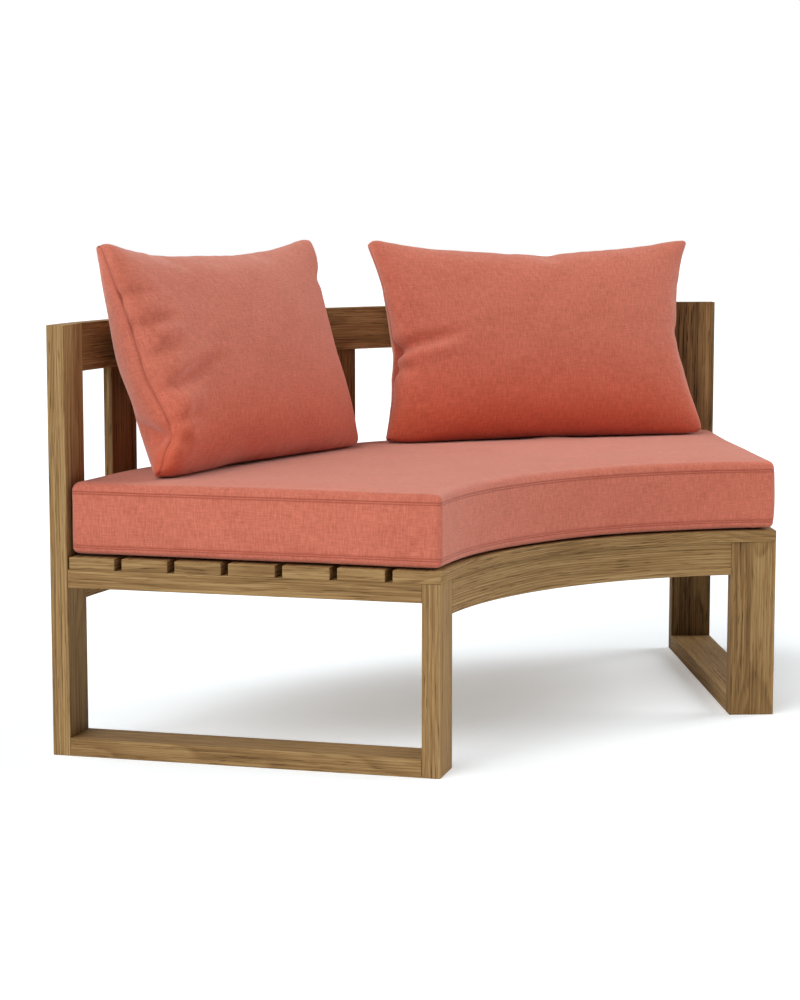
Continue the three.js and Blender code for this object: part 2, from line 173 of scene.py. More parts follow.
def set_mode(mode):
    bpy.ops.object.mode_set(mode=mode)


def feed(node, inputs):
    """Gives a shader node its inputs, by name or index, each a plain value or another node's output."""
    for key, value in inputs.items():
        if isinstance(value, bpy.types.NodeSocket):
            node.id_data.links.new(value, node.inputs[key])
        else:
            node.inputs[key].default_value = value


def add_node(tree, kind, inputs=None, **settings):
    """Adds a shader node."""
    made = give(tree.nodes.new(kind), **settings)
    feed(made, inputs or {})
    return made


def reckon(tree, operation, *inputs):
    """The number that a math node makes of its inputs."""
    return add_node(tree, "ShaderNodeMath", dict(enumerate(inputs)), operation=operation).outputs[0]


def reckon_vector(tree, operation, *inputs):
    """The vector that a vector math node makes of its inputs."""
    return add_node(tree, "ShaderNodeVectorMath", dict(enumerate(inputs)), operation=operation).outputs[0]


def vector_length(tree, vector):
    return add_node(tree, "ShaderNodeVectorMath", {0: vector}, operation="LENGTH").outputs["Value"]


def weigh(tree, tone, parts):
    """A tone with each part added to it, times its weight."""
    for part, weight in parts:
        tone = reckon(tree, "MULTIPLY_ADD", part, weight, tone)
    return tone


def map_range(tree, value, **limits):
    """A value spread over new limits, such as From_Min and To_Max."""
    named = {name.replace("_", " "): limit for name, limit in limits.items()}
    return add_node(tree, "ShaderNodeMapRange", {"Value": value, **named}).outputs[0]


def mix_colours(tree, share, first, second, **settings):
    """The first colour where share is 0, the second where it is 1."""
    return add_node(tree, "ShaderNodeMix", {"Factor": share, 6: first, 7: second},
                    data_type="RGBA", **settings).outputs[2]


def noise_at(tree, place, detail, roughness=0.5, scale=1.0):
    """A noise texture, from 0 to 1, at the places given."""
    return add_node(tree, "ShaderNodeTexNoise", {
        "Vector": place, "Scale": scale, "Detail": detail, "Roughness": roughness,
    })


def bumps(tree, height, strength, distance):
    return add_node(tree, "ShaderNodeBump", {
        "Height": height, "Strength": strength, "Distance": distance,
    }).outputs[0]


def new_material(name):
    """A material with its tree and its shader."""
    material = bpy.data.materials.new(name)
    material.use_nodes = True
    return material, material.node_tree, material.node_tree.nodes["Principled BSDF"]


# Camera and studio

CAMERA_PLACE = Vector((-2.7212, -3.1791, 0.8861))
CAMERA_YAW = 0.680311
CAMERA_PITCH = 0.122065
CAMERA_LENS = 85.84

# The floor's paper in the light, the same as the camera sees it, and the glow that lifts it to white
FLOOR_PAPER = (0.98, 0.98, 0.98, 1)
FLOOR_SEEN = (0.905, 0.965, 1.0, 1)
FLOOR_LIFT = 0.28
FLOOR_SIZE = 60
ROOM_LIGHT = 0.05

# Studio lamps: where each stands round the bench, from +Y toward +X, its height, its strength and its breadth
LAMPS = {
    "key_behind_left": (300, 53, 1.82, 66),
    "fill_front_left": (244, 32, 1.4, 40),
    "fill_front_right": (110, 32, 1.65, 40),
}


def make_camera():
    """The photograph's viewpoint: a long lens at sitting height, in front and to the left."""
    camera = bpy.data.objects.new("camera", bpy.data.cameras.new("camera"))
    scene.collection.objects.link(camera)
    camera.location = CAMERA_PLACE
    camera.rotation_euler = (math.pi / 2 - CAMERA_PITCH, 0, -CAMERA_YAW)
    give(camera.data, lens=CAMERA_LENS, sensor_width=36)
    scene.camera = camera


def make_floor():
    """A wide white studio floor. The camera sees it as paper lit to white, with the bench's shadow on it."""
    bpy.ops.mesh.primitive_plane_add(size=FLOOR_SIZE, location=(0, 0, 0))
    floor = bpy.context.object
    floor.name = "studio_floor"
    material, tree, shader = new_material("matt_white_paper")
    seen = add_node(tree, "ShaderNodeLightPath").outputs["Is Camera Ray"]
    feed(shader, {
        "Base Color": mix_colours(tree, seen, FLOOR_PAPER, FLOOR_SEEN),
        "Roughness": 1.0, "Specular IOR Level": 0.0,
        "Emission Color": (1, 1, 1, 1), "Emission Strength": reckon(tree, "MULTIPLY", seen, FLOOR_LIFT),
    })
    floor.data.materials.append(material)
    floor.select_set(False)


def make_lights():
    """A broad soft key from high behind on the left, low fills on both sides, and a white room."""
    for name, (azimuth, height, strength, breadth) in LAMPS.items():
        lamp = bpy.data.objects.new(name, bpy.data.lights.new(name, "SUN"))
        give(lamp.data, energy=strength, angle=math.radians(breadth))
        turn, rise = math.radians(azimuth), math.radians(height)
        toward = Vector((math.sin(turn) * math.cos(rise), math.cos(turn) * math.cos(rise), math.sin(rise)))
        lamp.rotation_euler = (-toward).to_track_quat("-Z", "Y").to_euler()
        scene.collection.objects.link(lamp)

    world = bpy.data.worlds.new("white_room")
    scene.world = world
    world.use_nodes = True
    tree = world.node_tree
    tree.nodes.clear()
    path = add_node(tree, "ShaderNodeLightPath")
    seen = reckon(tree, "MAXIMUM", path.outputs["Is Camera Ray"], path.outputs["Is Glossy Ray"])
    room, sheet = (
        add_node(tree, "ShaderNodeBackground", {"Color": (1, 1, 1, 1), "Strength": strength}).outputs[0]
        for strength in (ROOM_LIGHT, 1.0)
    )
    mix = add_node(tree, "ShaderNodeMixShader", {0: seen, 1: room, 2: sheet})
    add_node(tree, "ShaderNodeOutputWorld", {"Surface": mix.outputs[0]})


# Wood

# The glue lines of posts and legs made of two strips: across their depth (1) or their width (2), and how far
# from the middle
GLUE_LINES = {
    "front_leg_right": (2, 0.0039), "front_leg_left": (1, 0.0045), "rear_post_left": (1, -0.003),
    "rear_post_right": (2, -0.006),
}
GLUE_LINE_WIDTH = 0.0007
NO_GLUE_LINE = (0, 10.0)
GROWTH_RING = 0.0048
SAWN_ROUND = "sawn_round"
# Painted shade: how much darker than the rest the back boards are painted, where the pillows shade them.
# Below zero is painted light, on the left rear post, whose end face the key lamp lights.
PAINTED_BOARD_SHADE = {"back_top_rail": 0.22, "rear_post_right": 0.42, "back_stile": 0.44, "rear_post_left": -0.14}
PLAIN_FIGURE = 0.034
WILD_FIGURE = {"seat_slat_1": 0.09}

EASED_EDGE = 0.0009
CURVED_ARRIS = 0.001
CURVE_STEPS = 72
WELD_DISTANCE = 0.00001


def straight_grain(tree, along, yaw, middle):
    """Places in a straight board's own axes, X with the grain. along is "up" or "level"."""
    place = add_node(tree, "ShaderNodeTexCoord")
    turned = Euler((0, -math.pi / 2 if along == "up" else 0, yaw), "XYZ")
    return add_node(tree, "ShaderNodeMapping", {
        "Vector": place.outputs["Object"], "Location": middle, "Rotation": turned,
    }, vector_type="TEXTURE").outputs[0]


def round_grain(tree, middle_radius, height):
    """Places in a board that follows the ring: X runs round it. On its two end faces X runs across them."""
    place = add_node(tree, "ShaderNodeTexCoord")
    from_axis = reckon_vector(tree, "SUBTRACT", place.outputs["Object"], (0.0, RING_Y, height))
    x, y, z = add_node(tree, "ShaderNodeSeparateXYZ", {0: from_axis}).outputs
    flat = add_node(tree, "ShaderNodeCombineXYZ", {0: x, 1: y}).outputs[0]
    depth = reckon(tree, "SUBTRACT", vector_length(tree, flat), middle_radius)
    run = reckon(tree, "MULTIPLY", reckon(tree, "ARCTAN2", x, y), middle_radius)
    long_face = add_node(tree, "ShaderNodeCombineXYZ", {0: run, 1: depth, 2: z}).outputs[0]
    end_face = add_node(tree, "ShaderNodeCombineXYZ", {0: depth, 1: run, 2: z}).outputs[0]
    across = reckon_vector(tree, "NORMALIZE", flat)
    turned = reckon_vector(tree, "CROSS_PRODUCT", across, place.outputs["Normal"])
    square = reckon(tree, "ABSOLUTE", add_node(tree, "ShaderNodeSeparateXYZ", {0: turned}).outputs[2])
    at_end = reckon(tree, "GREATER_THAN", square, 0.8)
    return add_node(tree, "ShaderNodeMix", {0: at_end, 4: long_face, 5: end_face},
                    data_type="VECTOR").outputs[1]


def teak(name, along, yaw=0.0):
    """Oiled teak, planed and a little weathered: fine dark streaks in yellow brown, late wood, open pores."""
    rng = random.Random(name)
    material, tree, shader = new_material(f"oiled_teak_{name}")
    low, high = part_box(name)
    middle = (low + high) / 2
    if along == SAWN_ROUND:
        deep = BOARD_THICKNESS if high.z > SEAT_TOP + 0.01 else SLAT_WIDTH
        board = round_grain(tree, high.y - RING_Y - deep / 2, middle.z)
    else:
        board = straight_grain(tree, along, yaw, middle)

    glue_axis, glue_place = GLUE_LINES.get(name, NO_GLUE_LINE)
    to_glue = add_node(tree, "ShaderNodeSeparateXYZ", {0: board}).outputs[glue_axis]
    second_strip = reckon(tree, "GREATER_THAN", to_glue, glue_place)
    on_glue = reckon(tree, "COMPARE", to_glue, glue_place, GLUE_LINE_WIDTH)
    start = reckon_vector(tree, "ADD", board, tuple(rng.uniform(-3, 3) for _ in range(3)))
    strip = add_node(tree, "ShaderNodeCombineXYZ", dict.fromkeys(range(3), second_strip)).outputs[0]
    shifted = reckon_vector(tree, "MULTIPLY_ADD", strip, (1.7, 2.3, 0.9), start)

    figure = WILD_FIGURE.get(name, PLAIN_FIGURE)
    wander = noise_at(tree, reckon_vector(tree, "MULTIPLY", shifted, (2.6, 9.0, 9.0)), 2.0)
    bent = reckon_vector(tree, "MULTIPLY_ADD", wander.outputs["Color"], (0.0, figure, figure), board)
    pith_angle = rng.uniform(0, 2 * math.pi)
    pith_distance = rng.uniform(0.09, 0.2)
    pith = (0.0, pith_distance * math.cos(pith_angle), pith_distance * math.sin(pith_angle))
    across = reckon_vector(tree, "MULTIPLY", reckon_vector(tree, "ADD", bent, pith), (0.0, 1.0, 1.0))
    rings = reckon(tree, "MULTIPLY", vector_length(tree, across), 1 / GROWTH_RING)
    late_wood = add_node(tree, "ShaderNodeValToRGB", {"Fac": reckon(tree, "FRACT", rings)})
    stops = late_wood.color_ramp.elements
    stops[0].position, stops[0].color = 0.25, (0, 0, 0, 1)
    stops[1].position, stops[1].color = 0.88, (1, 1, 1, 1)
    stops.new(1.0).color = (0, 0, 0, 1)

    def streaks(scale, detail=3.0):
        return noise_at(tree, reckon_vector(tree, "MULTIPLY", shifted, scale), detail, 0.6).outputs["Fac"]

    fibre = streaks((5.5, 480.0, 480.0), 4.0)
    band = streaks((1.1, 85.0, 85.0))
    pores = map_range(tree, streaks((24.0, 520.0, 520.0), 1.0), From_Min=0.59, From_Max=0.70)
    blotch = streaks((5.0, 20.0, 20.0), 1.0)

    # Painted shade on the back boards, and painted light on the left rear post
    darker = sum(tone for board_name, tone in PAINTED_BOARD_SHADE.items() if name.startswith(board_name))
    tone = reckon(tree, "MULTIPLY_ADD", late_wood.outputs["Color"], 0.36, darker + 0.09)
    tone = weigh(tree, tone, ((fibre, 2.2), (band, 0.95), (pores, 0.55), (blotch, 0.35), (on_glue, 0.3),
                              (second_strip, 0.14)))
    tone = map_range(tree, tone, From_Min=1.27, From_Max=3.14)
    colour = add_node(tree, "ShaderNodeValToRGB", {"Fac": tone})
    stops = colour.color_ramp.elements
    stops[0].color = srgb("#b99b6a")
    stops[1].color = srgb("#38240f")
    stops.new(0.46 + rng.uniform(-0.04, 0.04)).color = srgb("#8e6e45")
    feed(shader, {
        "Base Color": colour.outputs["Color"],
        "Normal": bumps(tree, reckon(tree, "SUBTRACT", fibre, pores), 0.45, 0.0005),
        "Roughness": map_range(tree, fibre, To_Min=0.55, To_Max=0.78),
        "Specular IOR Level": 0.15,
    })
    return material


def bevel_edges(piece, width):
    """Rounds a board's sharp edges as a plane and sandpaper leave them."""
    bevel = piece.modifiers.new("eased_edges", "BEVEL")
    return give(bevel, width=width, segments=2, limit_method="ANGLE", angle_limit=math.radians(30))


def ease_edges(piece):
    """Welds a CAD node's loose faces and eases its edges, as modifiers."""
    piece.modifiers.new("weld", "WELD").merge_threshold = WELD_DISTANCE
    flat = piece.modifiers.new("flat_faces", "DECIMATE")
    give(flat, decimate_type="DISSOLVE", angle_limit=math.radians(0.5))
    bevel_edges(piece, EASED_EDGE)


def finish_board(name, along, yaw):
    piece = nodes[name]
    piece.material_slots[0].material = teak(name, along, yaw)
    ease_edges(piece)


def finish_straight_boards():
    """The end frames, the stiles of the back and the bearers under the seat."""
    for side_name, side in SIDES.items():
        for part in ("rear_post", "front_leg"):
            finish_board(f"{part}_{side_name}", "up", -side * HALF_SPAN)
        for part in ("floor_rail", "seat_end_rail"):
            finish_board(f"{part}_{side_name}", "level", math.pi / 2 - side * HALF_SPAN)
    rail_middle = (RAIL_FRONT + RAIL_BACK) / 2
    post_angle = HALF_SPAN - math.asin(BOARD_WIDTH / 2 / rail_middle)
    rows = ((STILE_COUNT, "back_stile", "up", 0.0), (BEARER_COUNT, "cross_bearer", "level", math.pi / 2))
    for count, part, along, turn in rows:
        for i in range(count):
            angle = post_angle * (2 * (i + 1) / (count + 1) - 1)
            finish_board(f"{part}_{i + 1}", along, turn - angle)


def bent_board(name, front, back, low, high, inward, arris):
    """A board sawn to the ring's curve: its section is spun round the axis and its ends are cut square.

    inward is how far inside the bench's end planes it stops.
    """
    place = on_ring((front + back) / 2, -HALF_SPAN, (low + high) / 2)
    bpy.ops.mesh.primitive_plane_add(size=1, location=place,
                                     rotation=(math.pi / 2, 0, math.pi / 2 + HALF_SPAN))
    piece = bpy.context.object
    piece.name = name
    piece.scale = (back - front, high - low, 1)
    bpy.ops.object.transform_apply()
    set_mode("EDIT")
    bpy.ops.mesh.select_all(action="SELECT")
    bpy.ops.mesh.spin(steps=CURVE_STEPS, angle=2 * HALF_SPAN, center=(0, RING_Y, 0), axis=(0, 0, 1))
    if inward > 0:
        for side in SIDES.values():
            outward = Vector((side * math.cos(HALF_SPAN), -math.sin(HALF_SPAN), 0))
            bpy.ops.mesh.select_all(action="SELECT")
            bpy.ops.mesh.bisect(plane_co=Vector((0, RING_Y, 0)) - outward * inward, plane_no=outward,
                                use_fill=True, clear_outer=True)
    bpy.ops.mesh.select_all(action="SELECT")
    bpy.ops.mesh.remove_doubles(threshold=WELD_DISTANCE)
    bpy.ops.mesh.normals_make_consistent(inside=False)
    set_mode("OBJECT")
    bevel = bevel_edges(piece, arris)
    bpy.ops.object.modifier_apply(modifier=bevel.name)
    bpy.ops.object.shade_smooth_by_angle(angle=math.radians(20))
    node_name = name.removesuffix("_board")
    piece.data.materials.append(teak(node_name, SAWN_ROUND))
    piece.select_set(False)
    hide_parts(node_name)
    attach(piece, "bench_frame")


def bend_boards():
    """The aprons, the top rail and the slats, all to the curve of the ring."""
    inset = BOARD_WIDTH + FIT_GAP
    top_rail_bottom = BENCH_HEIGHT - BOARD_WIDTH
    for name, front, back, low, high in (
        ("front_apron_board", APRON_FRONT, APRON_BACK, APRON_BOTTOM, SEAT_RAIL_TOP),
        ("rear_apron_board", RAIL_FRONT, RAIL_BACK, APRON_BOTTOM, SEAT_TOP),
        ("back_top_rail_board", RAIL_FRONT, RAIL_BACK, top_rail_bottom, BENCH_HEIGHT),
    ):
        bent_board(name, front, back, low, high, inset, CURVED_ARRIS)
    for i in range(SLAT_COUNT):
        radius = SLAT_FRONT + i * SLAT_PITCH
        bent_board(f"seat_slat_{i + 1}_board", radius, radius + SLAT_WIDTH, SEAT_RAIL_TOP, SEAT_TOP, 0,
                   SLAT_ARRIS)


# Cloth

CLOTH_FRAMES = 20
NEAR_POINTS = 16
YARN_PITCH = 0.002


def sew(name, sheets):
    """One closed mesh from sheets of points that meet at their edges, each with its own UV map in metres.

    A sheet is (points, uv, flipped). Returns the piece and, for each vertex, its place in the sheets' points.
    """
    points = np.concatenate([sheet[0].reshape(-1, 3) for sheet in sheets])
    uv = np.concatenate([sheet[1].reshape(-1, 2) for sheet in sheets])
    quads = []
    start = 0
    for sheet_points, _, flipped in sheets:
        rows, columns = sheet_points.shape[:2]
        index = start + np.arange(rows * columns).reshape(rows, columns)
        corners = np.stack([index[:-1, :-1], index[1:, :-1], index[1:, 1:], index[:-1, 1:]], -1)
        corners = corners.reshape(-1, 4)
        quads.append(corners[:, ::-1] if flipped else corners)
        start += rows * columns
    quads = np.concatenate(quads)
    _, first, merged = np.unique(np.round(points, 6), axis=0, return_index=True, return_inverse=True)
    mesh = bpy.data.meshes.new(name)
    mesh.from_pydata(points[first].tolist(), [], merged.reshape(-1)[quads].tolist())
    layer = mesh.uv_layers.new(name="cloth")
    layer.data.foreach_set("uv", uv[quads].reshape(-1))
    mesh.polygons.foreach_set("use_smooth", np.ones(len(mesh.polygons), bool))
    mesh.update()
    piece = bpy.data.objects.new(name, mesh)
    scene.collection.objects.link(piece)
    return piece, first


def read_points(mesh):
    points = np.empty(len(mesh.vertices) * 3, np.float32)
    mesh.vertices.foreach_get("co", points)
    return points.reshape(-1, 3).astype(float)


def write_points(mesh, points):
    mesh.vertices.foreach_set("co", points.astype(np.float32).reshape(-1))
    mesh.update()


def read_normals(mesh):
    normals = np.empty(len(mesh.vertices) * 3, np.float32)
    mesh.vertex_normals.foreach_get("vector", normals)
    return normals.reshape(-1, 3).astype(float)


def soft_floor(values, floor, softness):
    """Keeps values over a floor, meeting it in a round curve rather than a crease."""
    return floor + softness * np.logaddexp(0, (values - floor) / softness)


def bell(distance, width):
    """A share that is 1 at no distance and falls off smoothly over a width."""
    return np.exp(-(distance / width) ** 2)


def noise_field(points, scale, seed):
    """Smooth noise from -1 to 1 at each point. scale is the size of its waves."""
    shift = Vector((seed * 7.31, seed * 3.17, seed * 5.71))
    return np.array([noise.noise(Vector(point) + shift) for point in points / np.asarray(scale)])


def inflate(piece, pressure, slack, cap):
    """Blows a closed cloth up in a short simulation. Returns each point's move, up to about cap.

    slack is the share by which the cloth is larger than its shape, so that it can wrinkle. The even swelling
    is taken off again, since the shape already has the size of the filled cover.
    """
    cloth = piece.modifiers.new("cloth", "CLOTH")
    give(cloth.settings, quality=6, mass=0.25, use_pressure=True, uniform_pressure_force=pressure,
         shrink_min=-slack, tension_stiffness=22, compression_stiffness=14, shear_stiffness=6,
         bending_stiffness=0.35, air_damping=2.0)
    cloth.settings.effector_weights.gravity = 0
    cloth.collision_settings.use_collision = False
    give(cloth.point_cache, frame_start=1, frame_end=CLOTH_FRAMES)
    for step in range(1, CLOTH_FRAMES + 1):
        scene.frame_set(step)
    still = read_points(piece.data)
    blown = piece.evaluated_get(bpy.context.evaluated_depsgraph_get()).to_mesh()
    moved = read_points(blown) - still
    piece.modifiers.remove(cloth)
    scene.frame_set(1)
    normals = read_normals(piece.data)
    moved -= normals * np.median(np.sum(moved * normals, axis=1))
    length = np.linalg.norm(moved, axis=1, keepdims=True)
    return moved / (1 + length / cap)


def carry(points, still, moved, reach):
    """How far points near a simulated cloth move with it: a soft average of its nearest points."""
    tree = KDTree(len(still))
    for i, point in enumerate(still):
        tree.insert(point, i)
    tree.balance()
    carried = np.empty_like(points)
    for i, point in enumerate(points):
        near = tree.find_n(Vector(point), NEAR_POINTS)
        weights = np.exp(-np.square([distance / reach for _, _, distance in near])) + 1e-9
        carried[i] = weights @ moved[[index for _, index, _ in near]] / weights.sum()
    return carried


def add_attribute(piece, name, values):
    layer = piece.data.attributes.new(name, "FLOAT", "POINT")
    layer.data.foreach_set("value", np.asarray(values, np.float32))


def subdivide(piece):
    """One round of smooth subdivision, applied."""
    bpy.context.view_layer.objects.active = piece
    piece.select_set(True)
    made = give(piece.modifiers.new("smooth", "SUBSURF"), levels=1, render_levels=1)
    bpy.ops.object.modifier_apply(modifier=made.name)
    piece.select_set(False)


def finish_soft(piece, body, slot, fill, *stands_for):
    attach(piece, body)
    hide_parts(*stands_for)


def linen(name, base, deep):
    """Solution-dyed acrylic in a linen weave: matt, thick and thin yarns both ways, a soft bloom at the rim.

    The attribute "foot" paints shade toward a pillow's foot, darker and redder there, "seam" paints shade in
    the seams, and "stitch" lays the thread.
    """
    material, tree, shader = new_material(name)
    cloth = add_node(tree, "ShaderNodeUVMap", uv_map="cloth").outputs[0]

    def yarns(across, along, shift):
        place = reckon_vector(tree, "MULTIPLY_ADD", cloth, (1 / across, 1 / along, 1.0), (shift,) * 3)
        return noise_at(tree, place, 2.0, 0.55).outputs["Fac"]

    def marked(attribute):
        return add_node(tree, "ShaderNodeAttribute", attribute_name=attribute).outputs["Fac"]

    warp = yarns(0.0022, 0.018, 3.1)
    weft = yarns(0.016, 0.002, 11.7)
    fluff = yarns(0.0013, 0.0013, 23.3)
    shade = yarns(0.09, 0.07, 31.9)
    tone = weigh(tree, reckon(tree, "MULTIPLY", warp, 1.25), ((weft, 0.9), (fluff, 0.7), (shade, 0.4)))
    dyed = mix_colours(tree, map_range(tree, tone, From_Min=1.15, From_Max=2.15), srgb(deep), srgb(base))
    # Painted shade: darker and redder toward a pillow's foot
    foot_shaded = mix_colours(tree, marked("foot"), dyed, (1.05, 0.76, 0.64, 1), blend_type="MULTIPLY")
    # Painted shade in the seams, on top of their dented grooves
    seam_shaded = mix_colours(tree, marked("seam"), foot_shaded, srgb("#7a2c22"))

    u, v, _ = add_node(tree, "ShaderNodeSeparateXYZ", {0: cloth}).outputs
    dash = reckon(tree, "FLOORED_MODULO", reckon(tree, "DIVIDE", u, STITCH_LENGTH), 1.0)
    thread = reckon(tree, "MULTIPLY", marked("stitch"), reckon(tree, "LESS_THAN", dash, STITCH_SHOWN))
    over = [reckon(tree, "SINE", reckon(tree, "MULTIPLY", axis, 2 * math.pi / YARN_PITCH)) for axis in (u, v)]
    height = weigh(tree, tone, ((reckon(tree, "MULTIPLY", *over), 0.35), (thread, 1.5)))
    feed(shader, {
        "Base Color": mix_colours(tree, thread, seam_shaded, srgb("#b55a48")),
        "Normal": bumps(tree, height, 0.35, 0.0005), "Roughness": 0.88, "Specular IOR Level": 0.05,
        "Sheen Weight": 0.46, "Sheen Roughness": 0.45, "Sheen Tint": srgb("#ffe9dd"),
    })
    return material


# Seat cushion

def rounding(radius, count):
    """Distances from a box's edge that fall evenly round its rounded edge, edge first."""
    return [radius * (1 - math.tan(math.pi / 4 * i / count)) for i in range(count, -1, -1)]


def seam_rows(middle):
    """Close rows on both sides of a seam and of the stitching beside it."""
    return [middle + offset for offset in (-0.0022, -0.0009, -0.0003, 0.0003, 0.0009)]


def side_stops(length, radius, cells):
    edge = rounding(radius, 3)
    inner = np.linspace(radius, length - radius, cells + 1)[1:-1]
    return np.array([*edge, *inner, *(length - stop for stop in reversed(edge))])


def cushion_stops(size, cells):
    return [side_stops(length, radius, count) for length, radius, count in
            zip(size, (CORNER_ROUND, CORNER_ROUND, TOP_ROUND), cells)]


def cushion_size(inset):
    middle = (CUSHION_FRONT + CUSHION_BACK) / 2
    return np.array([
        2 * (middle * HALF_SPAN - CUSHION_END_INSET - inset), CUSHION_BACK - CUSHION_FRONT - 2 * inset,
        CUSHION_HEIGHT - 2 * inset,
    ])


def cushion_surface(box_points, size, inset):
    """A straight box's surface, its edges rounded, bent to the ring, with a crown and bulging ends."""
    radii = np.array([CORNER_ROUND, CORNER_ROUND, TOP_ROUND])
    core = np.clip(box_points, radii, size - radii)
    outward = (box_points - core) / radii
    outward /= np.maximum(np.linalg.norm(outward, axis=-1, keepdims=True), 1e-9)
    x, y, z = np.moveaxis(core + outward * radii, -1, 0)
    along, across, up = 2 * x / size[0] - 1, 2 * y / size[1] - 1, z / size[2]
    swell = (1 - along ** CUSHION_FULLNESS) * (1 - across ** CUSHION_FULLNESS)
    waist = 1 - (2 * up - 1) ** 2
    r = CUSHION_FRONT + inset + y
    half_width = np.arcsin((CUSHION_END_INSET + inset + (1 - waist) * CUSHION_BULGE) / r)
    angle = along * (HALF_SPAN - half_width)
    under = (1 - along ** CUSHION_UNDER_FULLNESS) * (1 - across ** CUSHION_UNDER_FULLNESS)
    lift = CUSHION_UNDER_LIFT * (1 - under) * np.maximum(0, 1 - z / SEAM_RISE) ** 1.5
    height = CUSHION_BOTTOM + inset + z + up ** 2 * swell * CUSHION_CROWN + lift
    return np.stack([r * np.sin(angle), RING_Y + r * np.cos(angle), height], -1)


def cushion_sheets(size, stops, inset):
    """The six sides of the cushion, each with its own cloth."""
    sheets = []
    params = []
    for axis in range(3):
        first, second = (i for i in range(3) if i != axis)
        for end in (0, 1):
            grid = np.zeros((len(stops[first]), len(stops[second]), 3))
            grid[..., first] = stops[first][:, None]
            grid[..., second] = stops[second][None, :]
            grid[..., axis] = end * size[axis]
            surface = cushion_surface(grid, size, inset)
            if axis == 2:
                uv = surface[..., :2].copy()
            else:
                uv = np.stack([grid[..., first] + axis * 2.3 + end * 5.1, grid[..., 2]], -1)
            sheets.append((surface, uv, (end == 1) == (axis == 1)))
            params.append(grid.reshape(-1, 3))
    return sheets, np.concatenate(params)


def keep_inside(points, reach):
    """Keeps points within a distance of the ring's axis, as the back's boards do."""
    from_axis = points[:, :2] - (0, RING_Y)
    radius = np.linalg.norm(from_axis, axis=1)
    kept = soft_floor(-radius, -reach, 0.0008)
    placed = points.copy()
    placed[:, :2] = from_axis * (-kept / radius)[:, None] + (0, RING_Y)
    return placed


# How the cushion yields round a pillow's sole: how far out, how high it rises again, over what distance
YIELD_REACH = 0.16
YIELD_RISE = 0.008
YIELD_SLOPE = 0.07
YIELD_SOFTNESS = 0.0004
SOLE_EDGE = 0.006
SOLE_GAP = 0.0007
SOLE_DEPTH = 0.0012


def press_under_feet(points, feet):
    """Presses the cushion's top in where the pillows stand on it. feet are the points of their soles."""
    tree = KDTree(len(feet))
    for i, (x, y, _) in enumerate(feet):
        tree.insert((x, y, 0), i)
    tree.balance()
    for point in points:
        if point[2] < SOLE_HEIGHT - 0.02:
            continue
        _, _, away = tree.find((point[0], point[1], 0))
        if away < YIELD_REACH:
            slope = 1 - bell(max(0.0, away - SOLE_EDGE), YIELD_SLOPE)
            ceiling = SOLE_HEIGHT - SOLE_GAP + YIELD_RISE * slope
            point[2] = -soft_floor(-point[2], -ceiling, YIELD_SOFTNESS)


def make_seat_cushion(feet):
    size = cushion_size(0)
    seams = [SEAM_RISE, size[2] - SEAM_RISE]
    stitches = [SEAM_RISE + STITCH_OFFSET, size[2] - SEAM_RISE - STITCH_OFFSET]
    body_rows = np.linspace(stitches[0] + 0.004, stitches[1] - 0.004, 9)
    edge = rounding(TOP_ROUND, 4)[:-1]
    fine_rows = sorted({*edge, *(size[2] - stop for stop in edge), *body_rows,
                        *(row for line in (*seams, *stitches) for row in seam_rows(line))})
    fine_stops = [*cushion_stops(size, (104, 52)), np.array(fine_rows)]

    sheets, params = cushion_sheets(size, fine_stops, 0)
    cover, first = sew("seat_cushion_cover_sewn", sheets)
    params = params[first]
    points = read_points(cover.data)
    form, _ = sew("cushion_form", cushion_sheets(size, cushion_stops(size, (84, 42, 7)), 0)[0])
    still = read_points(form.data)
    moved = inflate(form, pressure=0.06, slack=0.002, cap=0.004)
    points = points + carry(points, still, moved, reach=0.014)
    bpy.data.objects.remove(form)
    write_points(cover.data, points)

    normals = read_normals(cover.data)
    height = params[:, 2]
    to_seam = np.min([np.abs(height - line) for line in seams], axis=0)
    to_stitch = np.min([np.abs(height - line) for line in stitches], axis=0)
    inside = np.min([params[:, 0], size[0] - params[:, 0], params[:, 1], size[1] - params[:, 1]], axis=0)
    on_panel = inside > 1e-6
    from_seam = np.where(on_panel, inside + TOP_ROUND, to_seam)
    ripple = noise_field(points, (0.03, 0.03, 0.05), 1) * np.exp(-from_seam / 0.018) * 0.0009
    swell = noise_field(points, (0.16, 0.16, 0.09), 2) * 0.0012
    groove = SEAM_DEPTH * bell(to_seam, 0.0008) + STITCH_DEPTH * bell(to_stitch, 0.0008)
    groove[on_panel] = 0
    points = points + normals * (ripple + swell - groove)[:, None]
    points[:, 2] = soft_floor(points[:, 2], CUSHION_BOTTOM, 0.0005)
    points = keep_inside(points, RAIL_FRONT - 0.0015)
    press_under_feet(points, feet)
    write_points(cover.data, points)
    # Painted shade along the seams and the stitching, kept off the flat panels
    shade = np.maximum(0.6 * bell(to_seam, 0.0009), 0.55 * bell(to_stitch, 0.0009))
    add_attribute(cover, "seam", ~on_panel * shade)
    add_attribute(cover, "stitch", ~on_panel * bell(to_stitch, 0.0005))
    subdivide(cover)
    cover.data.materials.append(cover_linen)
    finish_soft(cover, "seat_cushion", "cushion_fabric", 0.9, "seat_cushion_cover")

    core_size = cushion_size(COVER_THICKNESS)
    core_stops = cushion_stops(core_size, (48, 24, 6))
    core, _ = sew("seat_foam_core", cushion_sheets(core_size, core_stops, COVER_THICKNESS)[0])
    core.data.materials.append(foam)
    finish_soft(core, "seat_cushion", "cushion_filling", 1.0, "seat_cushion_foam")
    return cover


# Throw pillows

